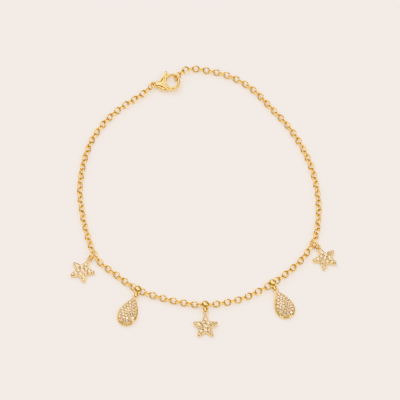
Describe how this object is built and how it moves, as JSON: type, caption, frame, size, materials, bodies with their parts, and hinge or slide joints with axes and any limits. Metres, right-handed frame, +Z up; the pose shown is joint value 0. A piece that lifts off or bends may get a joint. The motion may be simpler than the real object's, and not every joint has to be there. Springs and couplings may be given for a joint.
{
  "type": "charm necklace",
  "caption": "Charm necklace: a closed chain of round links with a lobster clasp, carrying paved stars and paved teardrops on bails and rings.",
  "frame": {"origin": "on the surface that the necklace lies on, under the middle of its outline", "axes": "+Z up from the surface, +Y from the charms towards the clasp, +X to the right seen from the charms"},
  "size_m": [0.126, 0.1483, 0.005],
  "materials": {
    "polished_gold": "polished yellow gold plate with fine handling scratches",
    "paved_stones": "clear round stones set close together in gold, with small gold prongs between them"
  },
  "bodies": {
    "necklace": {"chain_left": "polished_gold", "chain_lower": "polished_gold", "chain_right": "polished_gold", "left_bail": "polished_gold", "centre_bail": "polished_gold", "right_bail": "polished_gold", "left_star_ring": "polished_gold", "right_star_ring": "polished_gold", "left_corner_link": "polished_gold", "right_corner_link": "polished_gold", "tail_ring": "polished_gold", "end_ring": "polished_gold", "clasp_body": "polished_gold", "left_drop": "paved_stones", "centre_star": "paved_stones", "right_drop": "paved_stones", "left_star": "paved_stones", "right_star": "paved_stones"},
    "lever": {"clasp_lever": "polished_gold"}
  },
  "joints": [
    {"name": "lever_hinge", "type": "hinge", "parent": "necklace", "child": "lever", "pos_m": [-0.0193, 0.0663, 0.0024], "axis": [0, 0, -1], "range_deg": [0, 26], "stiffness_Nm_per_rad": 0.01, "springref_deg": -22.92}
  ]
}
